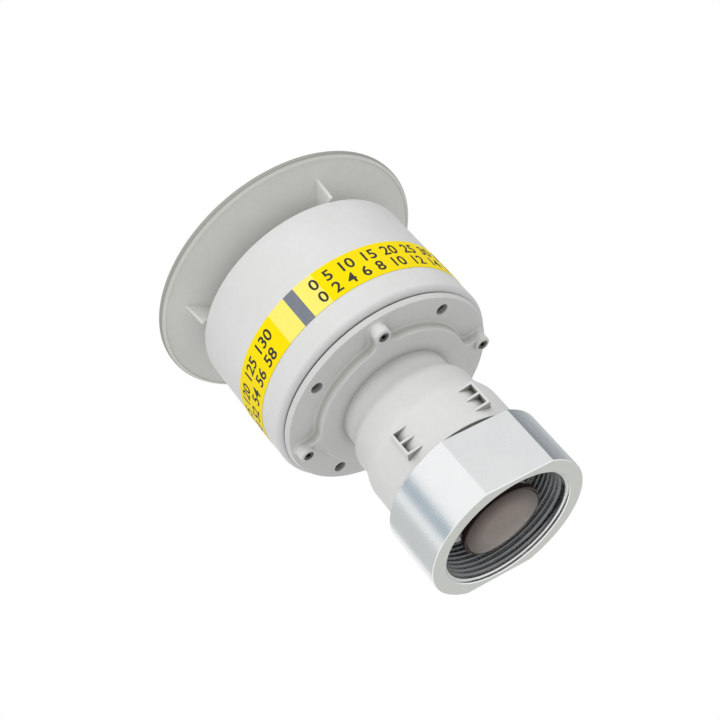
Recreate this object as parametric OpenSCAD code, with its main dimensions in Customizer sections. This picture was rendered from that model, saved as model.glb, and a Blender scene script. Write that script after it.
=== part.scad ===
// Tank breather valve: a pressure and vacuum vent that screws onto the top of a tank's vent pipe.
// The pipe goes into the collar at the bottom. Vapour lifts the weighted pallet off its seat and leaves
// under the cap. Air returns down the tube in the middle, past the vacuum poppet at the tube's lower end.
// Frame: millimetres, +Z up the pipe's axis, origin at the centre of the collar's bottom face.
// The front of the body, with a pair of wrench lugs, faces -Y.

/* [Pipe collar] */
// Outside diameter of the collar
collar_d = 74; // [72:0.5:80]
// Height of the collar
collar_h = 30; // [28:0.5:36]
// Width across the two wrench flats
collar_flats = 66.7; // [66:0.1:70]
// Turn of the flats away from the front of the body, in degrees
collar_turn = 13; // [0:1:90]
// Bore that the pipe thread is cut in
thread_d = 58; // [57:0.5:60]
// Depth of the threaded bore
thread_depth = 22; // [18:0.5:23]
// Plain recess below the thread, which clears the pipe's outside
recess_d = 60.8; // [60.4:0.1:61.6]
// Depth of the recess
recess_depth = 4; // [2:0.5:4.5]
// Bevel at the recess's mouth
mouth_bevel = 0.8; // [0.4:0.1:1.2]
// Bevel round the collar's ends
collar_bevel = 0.6; // [0.2:0.1:1.5]

/* [Valve body] */
// Diameter of the spigot that goes into the collar
spigot_d = 54; // [52.5:0.5:55]
// Diameter of the vapour passage through the body
passage_d = 45; // [43:0.5:46]
// Outside diameter of the barrel above the collar
barrel_d = 64.4; // [63:0.2:68]
// Height of the barrel's straight part
barrel_h = 19.5; // [18:0.5:24]
// Height of the barrel's tapered part
taper_h = 11; // [8:0.5:14]
// Outside diameter at the top of the taper
taper_d = 58.8; // [57:0.2:61]
// Height of the narrower part above the taper
waist_h = 4.5; // [3:0.5:8]
// Height of the rounded shoulder between that part and the neck
shoulder_h = 8; // [4:0.5:10]
// Length of the plain neck above the shoulder
neck_h = 7; // [5:0.5:14]
// Fillet where the neck meets the flange
neck_fillet = 2; // [1:0.5:3]
// Thickness of the body's moulded walls
body_wall = 3.5; // [2.8:0.1:3.8]
// Relief at the barrel's lower edge, which leaves a slit over the collar
relief = 1.8; // [0.6:0.1:2]
// Height of the tower that carries the seat, above the flange
tower_h = 5; // [4:0.5:10]

/* [Wrench lugs] */
// Width across the lugs' flat outer faces
lug_across = 59.6; // [58:0.2:61]
// Width of each flat, over its two lugs
lug_span = 40; // [36:0.5:44]
// Number of ribs in a lug
lug_ribs = 3; // [2:1:4]
// Spacing of the ribs
lug_pitch = 5.8; // [4:0.1:6]
// Thickness of a rib
lug_rib_t = 1.1; // [1:0.1:2]
// Height of the lowest rib above the collar
lug_lift = 6.2; // [1:0.1:7]

/* [Flange] */
// Diameter of the flange
flange_d = 101.8; // [100:0.2:103]
// Thickness of the flange's rim
flange_t = 2.6; // [2:0.1:5]
// Taper of the flange's rim, from its top edge in to its lower edge
flange_bevel = 0.9; // [0.4:0.1:1.5]
// Diameter of the raised step round the neck
step_d = 75; // [70:0.5:78]
// Height of the step
step_h = 4.5; // [3:0.5:6]
// Circle that the screw bosses lie on
boss_circle = 90; // [88:0.5:91]
// Diameter of a screw boss
boss_d = 7.4; // [7:0.2:9]
// Height of a screw boss above the flange
boss_h = 6; // [5:0.5:8]
// Radius of the curve between step and boss
boss_fillet = 4; // [2:0.5:6]
// Number of screws and of drain holes
screw_count = 4; // [3:1:6]
// Circle that the drain holes lie on
drain_circle = 88; // [86:0.5:90]
// Diameter of a drain hole
drain_d = 5.5; // [4:0.5:7]
// Thickness of the gasket
gasket_t = 0.6; // [0.4:0.1:1.5]

/* [Drum] */
// Outside diameter of the drum
drum_d = 106.2; // [105:0.2:112]
// Height of the drum
drum_h = 63; // [60:0.5:72]
// Thickness of the drum's wall at its rim
drum_wall = 2.5; // [2:0.1:3]
// Thickness of the drum's floor
floor_t = 3; // [2.5:0.5:5]
// Radius of the drum's lower edge
drum_round = 2.8; // [1:0.2:4]
// Depth of the lift stop's ledge below the rim
stop_ledge = 29.5; // [27:0.5:32]
// Depth of the screen's ledge below the rim
screen_ledge = 7.7; // [6:0.1:9]
// Width of each ledge
ledge_w = 1; // [0.8:0.1:1.5]

/* [Rating band] */
// Height of the band's lower edge above the drum's bottom
band_lift = 13.6; // [8:0.2:20]
// Width of the band
band_w = 18; // [12:0.5:24]
// Thickness of the band
band_t = 0.25; // [0.15:0.05:0.5]

/* [Cap] */
// Diameter of the cap
cap_d = 132; // [128:0.5:138]
// Height of the cap's lower edge above the drum's rim
cap_rise = 15.4; // [14:0.2:20]
// Radius of the flare under the cap
flare_r = 80; // [74:0.5:86]
// Slope of the flare at the cap's edge, in degrees
flare_slope = 16; // [14:0.5:18]
// Depth of the dish's floor below the drum's rim
dish_drop = 4.2; // [3:0.1:5]
// Thickness of the cap's walls
cap_wall = 2.4; // [1.8:0.1:3]
// Height of the rim that holds the cover
cap_lip = 2.7; // [2.4:0.1:6]
// Rise of the cover's dome
dome_rise = 5.5; // [3:0.5:10]
// Number of fins that carry the cap
fin_count = 4; // [3:1:6]
// Turn of the fins away from the screw bosses, in degrees
fin_turn = 24; // [0:1:60]
// Thickness of a fin
fin_t = 1.8; // [1.4:0.1:3]

/* [Pressure pallet] */
// Diameter of the pallet
pallet_d = 66; // [60:0.5:70]
// Thickness of the pallet
pallet_t = 3; // [2:0.5:5]
// Height of the weight
weight_h = 10; // [6:0.5:11]
// Thickness of the seal under the pallet
seal_t = 1.5; // [1:0.1:2]
// Height of the seat ring
seat_h = 5; // [4:0.5:8]
// Width of the seat's lip
seat_lip_w = 1.2; // [0.8:0.1:2]
// Height of the ring nut on the weight
ring_nut_h = 3.5; // [3:0.5:5]
// Travel of the pallet
lift = 8; // [4:0.5:8.4]

/* [Vacuum poppet] */
// Outside diameter of the air tube
tube_d = 34; // [32:0.5:35]
// Thickness of the air tube's wall
tube_wall = 1.6; // [1.2:0.1:2]
// Height of the tube's lower end above the collar's bottom
tube_end = 8.5; // [8:0.5:12]
// Diameter of the vacuum seal
vacuum_seal_d = 36.8; // [36:0.2:39]
// Thickness of the vacuum seal
vacuum_seal_t = 2; // [1:0.1:2.2]
// Diameter of the poppet's domed plate
poppet_d = 32.4; // [30:0.2:34]
// Thickness of the poppet's plate at its edge and rise of its dome, each
poppet_t = 1.2; // [0.6:0.1:1.4]
// Diameter of the stem
stem_d = 5; // [4:0.5:6]
// Travel of the poppet
drop = 4; // [2:0.5:4]
// Wire of the spring
spring_wire = 1; // [0.6:0.1:1.2]
// Mean diameter of the spring's coil
spring_d = 9.6; // [9:0.2:11]
// Length of the spring at rest
spring_h = 14; // [12:0.5:15]
// Turns of the spring
spring_turns = 6; // [4:1:7]

/* [Clearances] */
// Gap round a piece that is fitted and stays put
fit_gap = 0.15; // [0.05:0.05:0.3]
// Gap beside a piece that moves
run_gap = 0.3; // [0.2:0.05:0.5]
// Gap between a seal and its seat
seat_gap = 0.1; // [0.05:0.05:0.2]

/* [Hidden] */
$fn = 96;
// Overshoot of a cutting shape past the face that it cuts
past = 1;

// Heights of the fixed pieces, from the pipe end up
barrel_top = collar_h + barrel_h;
taper_top = barrel_top + taper_h;
waist_top = taper_top + waist_h;
shoulder_top = waist_top + shoulder_h;
step_z = shoulder_top + neck_h;
flange_z = step_z + step_h;
flange_top = flange_z + flange_t;
boss_z = flange_z - boss_h;
floor_z = flange_top + gasket_t;
floor_top = floor_z + floor_t;
drum_top = floor_z + drum_h;
tower_top = flange_top + tower_h;
seat_z = tower_top + seat_h;
stop_z = drum_top - stop_ledge;
screen_z = drum_top - screen_ledge;
spigot_z = thread_depth + past;

// Heights of the pressure pallet's stack
seal_z = seat_z + seat_gap;
pallet_z = seal_z + seal_t;
weight_z = pallet_z + pallet_t;
ring_nut_z = weight_z + weight_h;
tube_top = ring_nut_z + ring_nut_h;

// Heights of the vacuum poppet's stack
vacuum_seal_z = tube_end - seat_gap - vacuum_seal_t;
plate_top = vacuum_seal_z + vacuum_seal_t;
guide_sink = 2;
guide_top = tube_top - guide_sink;
spring_top = guide_top + spring_h;

// Radii, with the flange reaching past the screws by an edge
collar_r = collar_d / 2;
passage_r = passage_d / 2;
spigot_r = spigot_d / 2 - fit_gap;
barrel_r = barrel_d / 2;
taper_r = taper_d / 2;
tower_r = passage_r + body_wall;
neck_r = tower_r;
flange_edge = 3.6;
flange_r = max(flange_d / 2, boss_circle / 2 + flange_edge);
drum_r = drum_d / 2;
drum_in = drum_r - drum_wall;
tube_r = tube_d / 2;
tube_in = tube_r - tube_wall;
stem_r = stem_d / 2;
cap_r = cap_d / 2;
band_z = floor_z + band_lift;

// Seal ring of the spigot and its groove
cord_d = 2;
groove_depth = cord_d - fit_gap;
groove_w = cord_d + 0.6;
groove_drop = 5;
groove_z = collar_h - groove_drop;

// Screws, their inserts and the holes that take them
screw_d = 3;
head_d = 4.2;
head_h = 2.2;
head_sink = 0.4;
socket_d = 2.3;
insert_d = 5.6;
insert_h = 7.5;
insert_sink = 0.5;
insert_z = floor_z + insert_sink;
screw_z = boss_z + head_sink;
screw_end = insert_z + insert_h - 1;

// Inner edge of the drum's floor and of the gasket, inside the screws' circle
floor_in = 6.5;
floor_r = boss_circle / 2 - floor_in;

// Guide ribs in the passage
guide_rib_t = 2.4;
guide_rib_lift = 4;
guide_rib_z = collar_h + guide_rib_lift;
guide_rib_h = shoulder_top - guide_rib_z;

// Pressure pallet: shoulder of the tube under it and the weight's size
tube_shoulder_r = passage_r - 2;
tube_shoulder_h = 3;
weight_r = pallet_d / 2 + 1;
ring_nut_w = 5;
ring_nut_r = tube_r + ring_nut_w;

// Lift stop over the ring nut
stop_hole_w = 5;
stop_hole_r = spring_d / 2 + stop_hole_w;
stop_face_z = tube_top + lift + 0.5;
stop_bar_h = 3.5;
stop_bar_w = 5;
stop_ring_w = 4;

// Screen and its clamping ring
screen_t = 0.8;
screen_pitch = 6;
screen_bar = 1;
screen_ring_w = 3.7;
screen_ring_h = 1.8;
screen_ring_z = screen_z + screen_t;

// Cap: centre and inner end of the flare, and the cover's seat
rim_z = drum_top + cap_rise;
flare_x = cap_r + flare_r * sin(flare_slope);
flare_z = rim_z - flare_r * cos(flare_slope);
dish_z = drum_top - dish_drop;
lip_w = 2;
cap_ledge_w = 4;
lip_round = 0.7;
cover_z = rim_z + cap_wall - 0.6;
cover_r = cap_r - lip_w - fit_gap;
fin_reach = 3.1;
fin_foot = 1.5;
fin_tip_r = drum_r + fin_reach;
fin_foot_r = drum_r + fin_foot;
fin_leg_r = drum_in - run_gap;
fin_leg_w = 6.3;

// Vacuum poppet: guide in the tube, backing plate, retainer and nut
guide_h = 6;
guide_ring_w = 1.6;
guide_arm_w = 2.4;
guide_hub_r = spring_d / 2 + 0.8;
plate_r = tube_in - 1;
plate_t = 1.6;
hub_r = 6;
hub_h = 5;
retainer_r = spring_d / 2 + 2.2;
retainer_t = 2;
nut_d = 9;
nut_h = 3;
stem_end = spring_top + retainer_t + nut_h + 1.5;

// Points of an arc about a centre, from one angle to another
function arc(centre, radius, from, to, steps = 8) = [
    for (i = [0:steps])
        let (turn = from + (to - from) * i / steps) centre + radius * [cos(turn), sin(turn)]
];

// Points of a soft S between two radii, over a height
function swell(low_r, high_r, z, h, steps = 10) = [
    for (i = [0:steps])
        [high_r + (low_r - high_r) * (1 + cos(180 * i / steps)) / 2, z + h * i / steps]
];

// Height of the flare's surface at a distance from the axis, at a depth into the wall
function flare_height(x, depth = 0) = flare_z + sqrt(pow(flare_r + depth, 2) - pow(flare_x - x, 2));

// Distance from the axis at which the flare's surface has a height
function flare_reach(z, depth = 0) = flare_x - sqrt(pow(flare_r + depth, 2) - pow(z - flare_z, 2));

// Round ring standing on a height
module ring(outer, inner, z, h) {
    translate([0, 0, z])
        difference() {
            cylinder(r = outer, h = h);
            translate([0, 0, -past]) cylinder(r = inner, h = h + 2 * past);
        }
}

// Copies of the children on a circle, the first one at an angle
module around(count, first = 0) {
    for (i = [0:count - 1])
        rotate([0, 0, first + 360 * i / count]) children();
}

// Aluminium collar with two wrench flats and the pipe thread's bore
module threaded_collar() {
    color("lightgrey")
        difference() {
            intersection() {
                rotate_extrude()
                    polygon([
                        [0, 0], [collar_r - collar_bevel, 0],
                        [collar_r, collar_bevel], [collar_r, collar_h - collar_bevel],
                        [collar_r - collar_bevel, collar_h], [0, collar_h]
                    ]);
                rotate([0, 0, collar_turn])
                    translate([-collar_d, -collar_flats / 2, -past])
                        cube([2 * collar_d, collar_flats, collar_h + 2 * past]);
            }
            translate([0, 0, -past]) cylinder(d = thread_d, h = thread_depth + past);
            translate([0, 0, -past]) cylinder(d = spigot_d, h = collar_h + 2 * past);
            rotate_extrude()
                polygon([
                    [0, -past], [recess_d / 2 + mouth_bevel, -past], [recess_d / 2 + mouth_bevel, 0],
                    [recess_d / 2, mouth_bevel], [recess_d / 2, recess_depth], [0, recess_depth]
                ]);
        }
}

// Seal ring in the spigot's groove
module collar_seal() {
    color("dimgray")
        translate([0, 0, groove_z])
            rotate_extrude()
                translate([spigot_r + fit_gap - cord_d / 2, 0]) circle(d = cord_d, $fn = 32);
}

// Outline of the flange's raised step: a disc that runs out to each screw boss in concave curves
module lobed_step() {
    circle(d = step_d);
    half = boss_d / 2;
    fillet_x = half + boss_fillet;
    fillet_y = sqrt(pow(step_d / 2 + boss_fillet, 2) - pow(fillet_x, 2));
    around(screw_count) rotate([0, 0, -90]) {
        translate([-half, 0]) square([boss_d, boss_circle / 2]);
        translate([0, boss_circle / 2]) circle(d = boss_d);
        for (side = [0, 1])
            mirror([side, 0])
                difference() {
                    polygon([[0, 0], [fillet_x, fillet_y], [0, fillet_y]]);
                    translate([fillet_x, fillet_y]) circle(r = boss_fillet);
                }
    }
}

// Ribbed corners on the barrel that make two wrench flats: plates across the barrel and a wall at each end
module wrench_lugs() {
    low = collar_h + lug_lift;
    tall = (lug_ribs - 1) * lug_pitch + lug_rib_t;
    for (i = [0:lug_ribs - 1])
        translate([-lug_span / 2, -lug_across / 2, low + i * lug_pitch])
            cube([lug_span, lug_across, lug_rib_t]);
    for (x = [-lug_span / 2, lug_span / 2 - lug_rib_t])
        translate([x, -lug_across / 2, low]) cube([lug_rib_t, lug_across, tall]);
}

// Outside of the valve body as one turned form
module body_form() {
    rotate_extrude()
        polygon(concat(
            [
                [0, spigot_z], [spigot_r, spigot_z], [spigot_r, collar_h],
                [barrel_r - relief, collar_h], [barrel_r - relief, collar_h + relief],
                [barrel_r, collar_h + relief]
            ],
            swell(barrel_r, taper_r, barrel_top, taper_h),
            swell(taper_r, neck_r, waist_top, shoulder_h),
            arc([neck_r + neck_fillet, step_z - neck_fillet], neck_fillet, 180, 90),
            [
                [step_d / 2 - 1, step_z], [step_d / 2 - 1, flange_z], [flange_r - flange_bevel, flange_z],
                [flange_r, flange_top], [tower_r, flange_top],
                [tower_r, tower_top], [0, tower_top]
            ]
        ));
}

// Space between the barrel's outer wall and its inner tube, open at the bottom
module barrel_core() {
    outer = barrel_r - body_wall;
    sleeve_z = collar_h + body_wall / 2;
    if (outer > spigot_r)
        rotate_extrude()
            polygon([
                [spigot_r, collar_h - past], [outer, collar_h - past], [outer, barrel_top],
                [tower_r, taper_top], [tower_r, sleeve_z], [spigot_r, sleeve_z]
            ]);
}

// Moulded valve body: spigot, barrel with wrench lugs, neck, lobed flange and the seat's tower
module valve_body() {
    color("gainsboro") {
        difference() {
            union() {
                body_form();
                wrench_lugs();
                translate([0, 0, step_z]) linear_extrude(flange_z + flange_t / 2 - step_z) lobed_step();
                around(screw_count)
                    translate([boss_circle / 2, 0, boss_z]) cylinder(d = boss_d, h = boss_h + flange_t / 2);
            }
            translate([0, 0, spigot_z - past])
                cylinder(r = passage_r, h = tower_top - spigot_z + 2 * past);
            barrel_core();
            ring(spigot_r + past, spigot_r - groove_depth, groove_z - groove_w / 2, groove_w);
            around(screw_count)
                translate([boss_circle / 2, 0, boss_z - past]) {
                    cylinder(d = screw_d + 2 * fit_gap, h = boss_h + flange_t + 2 * past);
                    cylinder(d = head_d + 4 * fit_gap, h = head_sink + head_h + past);
                }
            around(screw_count, 180 / screw_count)
                translate([drain_circle / 2, 0, flange_z - past])
                    cylinder(d = drain_d, h = flange_t + 2 * past);
        }
        around(3, 90)
            translate([tube_r + run_gap, -guide_rib_t / 2, guide_rib_z])
                cube([passage_r + body_wall / 2 - tube_r - run_gap, guide_rib_t, guide_rib_h]);
    }
}

// Flat gasket between flange and drum
module flange_gasket() {
    color("dimgray")
        difference() {
            ring(flange_r - flange_bevel / 2, floor_r, flange_top, gasket_t);
            around(screw_count)
                translate([boss_circle / 2, 0, flange_top - past])
                    cylinder(d = screw_d + 4 * fit_gap, h = gasket_t + 2 * past);
            around(screw_count, 180 / screw_count)
                translate([drain_circle / 2, 0, flange_top - past])
                    cylinder(d = drain_d + 2 * fit_gap, h = gasket_t + 2 * past);
        }
}

// Drum that encloses the pallet, with ledges for the lift stop and the screen
module drum_housing() {
    lower_in = drum_in - 2 * ledge_w;
    rim_round = drum_wall / 3;
    color("gainsboro")
        difference() {
            union() {
                rotate_extrude()
                    polygon(concat(
                        [[floor_r, floor_z]],
                        arc([drum_r - drum_round, floor_z + drum_round], drum_round, -90, 0),
                        arc([drum_r - rim_round, drum_top - rim_round], rim_round, 0, 90, 4),
                        [
                            [drum_in, drum_top], [drum_in, screen_z],
                            [drum_in - ledge_w, screen_z], [drum_in - ledge_w, stop_z],
                            [lower_in, stop_z], [lower_in, floor_top], [floor_r, floor_top]
                        ]
                    ));
                around(screw_count)
                    translate([boss_circle / 2, 0, floor_z])
                        cylinder(d = insert_d + body_wall, h = insert_h + insert_sink);
            }
            around(screw_count)
                translate([boss_circle / 2, 0, floor_z - past]) {
                    cylinder(d = screw_d + 4 * fit_gap, h = insert_h + 3 * past);
                    translate([0, 0, past + insert_sink])
                        cylinder(d = insert_d + 2 * fit_gap, h = insert_h + past);
                }
            around(screw_count, 180 / screw_count)
                translate([drain_circle / 2, 0, floor_z - past])
                    cylinder(d = drain_d, h = floor_t + 2 * past);
        }
}

// Printed band round the drum
module rating_band() {
    color("gold") ring(drum_r + band_t, drum_r, band_z, band_w);
}

// Socket-head screws, up through the flange into the drum
module flange_screws() {
    color("silver")
        around(screw_count)
            translate([boss_circle / 2, 0, screw_z])
                difference() {
                    union() {
                        cylinder(d = head_d, h = head_h);
                        cylinder(d = screw_d, h = screw_end - screw_z);
                    }
                    translate([0, 0, -past]) cylinder(d = socket_d, h = past + head_h * 0.6, $fn = 6);
                }
}

// Brass inserts in the drum's floor
module screw_inserts() {
    color("goldenrod")
        around(screw_count)
            translate([boss_circle / 2, 0, 0])
                ring(insert_d / 2, screw_d / 2 + fit_gap, insert_z, insert_h);
}

// Metal ring on the tower, with a narrow lip that the pallet's seal rests on
module seat_ring() {
    lip_r = (passage_r + tower_r) / 2;
    color("silver")
        rotate_extrude()
            polygon([
                [passage_r, tower_top], [tower_r, tower_top], [tower_r, tower_top + seat_h / 2],
                [lip_r + seat_lip_w / 2, seat_z], [lip_r - seat_lip_w / 2, seat_z],
                [passage_r, tower_top + seat_h / 2]
            ]);
}

// Cross in the drum that stops the pallet at the top of its travel
module lift_stop() {
    outer = drum_in - ledge_w - fit_gap;
    color("whitesmoke") {
        ring(outer, outer - stop_ring_w, stop_z, stop_face_z + stop_bar_h - stop_z);
        ring(ring_nut_r, stop_hole_r, stop_face_z, stop_bar_h);
        around(4, 45)
            translate([ring_nut_r - past, -stop_bar_w / 2, stop_face_z])
                cube([outer - stop_ring_w - ring_nut_r + 2 * past, stop_bar_w, stop_bar_h]);
    }
}

// Wire screen across the drum's mouth
module insect_screen() {
    reach = floor(drum_in / screen_pitch) * screen_pitch;
    color("silver")
        translate([0, 0, screen_z])
            linear_extrude(screen_t) {
                intersection() {
                    circle(r = drum_in - fit_gap - 1);
                    union() {
                        for (p = [-reach:screen_pitch:reach]) {
                            translate([p - screen_bar / 2, -drum_in]) square([screen_bar, 2 * drum_in]);
                            translate([-drum_in, p - screen_bar / 2]) square([2 * drum_in, screen_bar]);
                        }
                    }
                }
                difference() {
                    circle(r = drum_in - fit_gap);
                    circle(r = drum_in - fit_gap - screen_ring_w / 2);
                }
            }
}

// Ring that clamps the screen on its ledge
module screen_ring() {
    color("whitesmoke")
        ring(drum_in - fit_gap, drum_in - fit_gap - screen_ring_w, screen_ring_z, screen_ring_h);
}

// One fin of the cap: it stands on the drum's rim and reaches down inside it
module cap_fin() {
    leg_in = fin_leg_r - fin_leg_w;
    steps = 6;
    top = [for (i = [0:steps])
        let (x = fin_tip_r + (leg_in - fin_tip_r) * i / steps) [x, flare_height(x, cap_wall / 2)]];
    translate([0, fin_t / 2, 0])
        rotate([90, 0, 0])
            linear_extrude(fin_t)
                polygon(concat(
                    [
                        [leg_in, screen_ring_z + screen_ring_h], [fin_leg_r, screen_ring_z + screen_ring_h],
                        [fin_leg_r, drum_top], [fin_foot_r, drum_top]
                    ],
                    top
                ));
}

// Cap: a flared dish whose underside turns the vapour outwards, on fins that seat in the drum
module cap_deflector() {
    under_in = flare_reach(dish_z);
    over_in = flare_reach(dish_z + cap_wall, cap_wall);
    edge_r = cap_r - lip_w;
    ledge_r = edge_r - cap_ledge_w;
    steps = 10;
    under = [for (i = [0:steps])
        let (x = under_in + (cap_r - lip_round - under_in) * i / steps) [x, flare_height(x)]];
    over = [for (i = [0:steps])
        let (x = ledge_r + (over_in - ledge_r) * i / steps) [x, flare_height(x, cap_wall)]];
    color("silver") {
        rotate_extrude()
            polygon(concat(
                [[0, dish_z]],
                under,
                [
                    [cap_r, flare_height(cap_r) + lip_round], [cap_r, rim_z + cap_lip - lip_round],
                    [cap_r - lip_round, rim_z + cap_lip], [edge_r, rim_z + cap_lip], [edge_r, cover_z],
                    [ledge_r, cover_z]
                ],
                over,
                [[0, dish_z + cap_wall]]
            ));
        around(fin_count, fin_turn) cap_fin();
    }
}

// Domed cover that closes the cap's dish
module cap_cover() {
    edge = 2.2;
    dome_r = (pow(cover_r, 2) + pow(dome_rise, 2)) / (2 * dome_rise);
    inner_r = dome_r - cap_wall;
    centre = [0, cover_z + edge + dome_rise - dome_r];
    foot_r = cover_r - 3;
    color("gainsboro")
        rotate_extrude()
            polygon(concat(
                [[cover_r, cover_z]],
                arc(centre, dome_r, acos(cover_r / dome_r), 90),
                arc(centre, inner_r, 90, acos(foot_r / inner_r)),
                [[foot_r, cover_z]]
            ));
}

// Disc that closes the seat
module pressure_pallet() {
    color("silver") ring(pallet_d / 2, tube_r + fit_gap, pallet_z, pallet_t);
}

// Rubber ring under the pallet
module pressure_seal() {
    color("saddlebrown") ring(tower_r + 1, tube_shoulder_r + fit_gap, seal_z, seal_t);
}

// Weight that sets the opening pressure
module pallet_weight() {
    bevel = 1;
    hole = tube_r + fit_gap;
    color("slategray")
        rotate_extrude()
            polygon([
                [hole, weight_z], [weight_r - bevel, weight_z], [weight_r, weight_z + bevel],
                [weight_r, ring_nut_z - bevel], [weight_r - bevel, ring_nut_z], [hole, ring_nut_z]
            ]);
}

// Tube that hangs from the pallet down through the passage; air returns inside it
module air_tube() {
    color("whitesmoke") {
        ring(tube_r, tube_in, tube_end, tube_top - tube_end);
        ring(tube_shoulder_r, tube_in, pallet_z - tube_shoulder_h, tube_shoulder_h);
    }
}

// Nut on the tube that clamps the weight and the pallet
module ring_nut() {
    slot_w = 4;
    slot_depth = 1.6;
    color("silver")
        difference() {
            ring(ring_nut_r, tube_r + fit_gap / 2, ring_nut_z, ring_nut_h);
            around(4)
                translate([ring_nut_r - slot_depth, -slot_w / 2, ring_nut_z - past])
                    cube([slot_depth + past, slot_w, ring_nut_h + 2 * past]);
        }
}

// Three-armed guide in the tube's upper end; the stem slides in it and the spring stands on it
module stem_guide() {
    outer = tube_in - fit_gap / 2;
    low = guide_top - guide_h;
    color("whitesmoke") {
        ring(outer, outer - guide_ring_w, low, guide_h);
        ring(guide_hub_r, stem_r + run_gap, low, guide_h);
        around(3)
            translate([guide_hub_r - guide_arm_w / 2, -guide_arm_w / 2, low])
                cube([outer - guide_ring_w / 2 - guide_hub_r + guide_arm_w / 2, guide_arm_w, guide_h]);
    }
}

// Poppet that closes the tube's lower end: a domed plate with a hub
module vacuum_poppet() {
    rad = poppet_d / 2;
    dome_r = (rad * rad + poppet_t * poppet_t) / (2 * poppet_t);
    centre = [0, vacuum_seal_z - 2 * poppet_t + dome_r];
    hub_top = plate_top + hub_h;
    color("rosybrown")
        difference() {
            rotate_extrude()
                polygon(concat(
                    arc(centre, dome_r, -90, -acos(rad / dome_r)),
                    [[rad, vacuum_seal_z], [hub_r, vacuum_seal_z], [hub_r, hub_top], [0, hub_top]]
                ));
            translate([0, 0, vacuum_seal_z])
                cylinder(r = stem_r + fit_gap / 2, h = hub_top - vacuum_seal_z + past);
        }
}

// Seal between the poppet and the tube's end
module vacuum_seal() {
    color("saddlebrown") ring(vacuum_seal_d / 2, hub_r + fit_gap / 2, vacuum_seal_z, vacuum_seal_t);
}

// Plate that backs the vacuum seal
module seal_plate() {
    color("silver") ring(plate_r, hub_r + fit_gap / 2, plate_top, plate_t);
}

// Stem from the poppet up through the guide and the spring
module vacuum_stem() {
    color("silver") translate([0, 0, vacuum_seal_z]) cylinder(r = stem_r, h = stem_end - vacuum_seal_z);
}

// Cup that holds the spring's upper end
module spring_retainer() {
    skirt = 1.4;
    color("silver") {
        ring(retainer_r, stem_r + fit_gap / 2, spring_top, retainer_t);
        ring(retainer_r, retainer_r - 1, spring_top - skirt, skirt);
    }
}

// Nut that sets the spring's load
module stem_nut() {
    color("silver")
        translate([0, 0, spring_top + retainer_t])
            difference() {
                cylinder(d = nut_d, h = nut_h, $fn = 6);
                translate([0, 0, -past]) cylinder(r = stem_r + fit_gap / 2, h = nut_h + 2 * past);
            }
}

// Coil spring that holds the poppet shut
module vacuum_spring() {
    sides = 8;
    per_turn = 20;
    rings = spring_turns * per_turn;
    low = guide_top + spring_wire / 2;
    rise = spring_h - spring_wire;
    function coil_point(i, j) =
        let (turn = 360 * i / per_turn, side = 360 * j / sides)
        let (r = (spring_d + spring_wire * cos(side)) / 2)
        [r * cos(turn), r * sin(turn), low + rise * i / rings + spring_wire / 2 * sin(side)];
    points = [for (i = [0:rings]) for (j = [0:sides - 1]) coil_point(i, j)];
    walls = [for (i = [0:rings - 1]) for (j = [0:sides - 1])
        let (a = i * sides + j, b = i * sides + (j + 1) % sides) [a, b, b + sides, a + sides]];
    first = [for (j = [0:sides - 1]) sides - 1 - j];
    last = [for (j = [0:sides - 1]) rings * sides + j];
    color("lightgrey") polyhedron(points, concat([first], walls, [last]));
}

threaded_collar();
collar_seal();
valve_body();
flange_gasket();
drum_housing();
rating_band();
flange_screws();
screw_inserts();
seat_ring();
lift_stop();
insect_screen();
screen_ring();
cap_deflector();
cap_cover();
pressure_pallet();
pressure_seal();
pallet_weight();
air_tube();
ring_nut();
stem_guide();
vacuum_poppet();
vacuum_seal();
seal_plate();
vacuum_stem();
spring_retainer();
stem_nut();
vacuum_spring();
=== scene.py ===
# %% [markdown]
# # A tank breather valve, dressed for the camera
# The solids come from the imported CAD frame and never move. This lesson gives them the soft edges, the pipe thread,
# the printed band and the finishes that the real valve shows. All pieces are built in the same frame as the CAD:
# metres, +Z up the pipe's axis, origin at the centre of the collar's bottom face.

# %% Load the frame
import math

import bmesh
import bpy
import numpy as np
from mathutils import Matrix, Vector


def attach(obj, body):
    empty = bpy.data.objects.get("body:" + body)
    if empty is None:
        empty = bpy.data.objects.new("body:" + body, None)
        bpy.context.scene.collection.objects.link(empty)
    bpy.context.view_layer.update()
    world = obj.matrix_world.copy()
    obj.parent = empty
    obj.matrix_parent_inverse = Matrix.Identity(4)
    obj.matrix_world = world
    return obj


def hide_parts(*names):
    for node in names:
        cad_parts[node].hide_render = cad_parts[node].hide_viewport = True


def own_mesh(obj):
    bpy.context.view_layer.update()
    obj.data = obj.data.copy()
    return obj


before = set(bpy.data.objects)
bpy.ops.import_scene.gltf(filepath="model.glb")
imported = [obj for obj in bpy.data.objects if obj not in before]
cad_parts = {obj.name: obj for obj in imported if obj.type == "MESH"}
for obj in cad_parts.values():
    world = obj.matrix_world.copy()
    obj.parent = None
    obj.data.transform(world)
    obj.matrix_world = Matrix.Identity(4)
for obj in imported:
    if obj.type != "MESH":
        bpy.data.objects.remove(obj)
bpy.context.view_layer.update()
MM = 0.001
scene = bpy.context.scene

# %% [markdown]
# ## Camera
# The photograph looks up at the valve from below its collar, turned so that the pipe's axis runs from the lower
# right to the upper left. The place, the aim and the roll were found by fitting circles of the collar, the flange,
# the drum and the cap to their ellipses. A roll is simply a turn about the line of sight, so it is added last.

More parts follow.
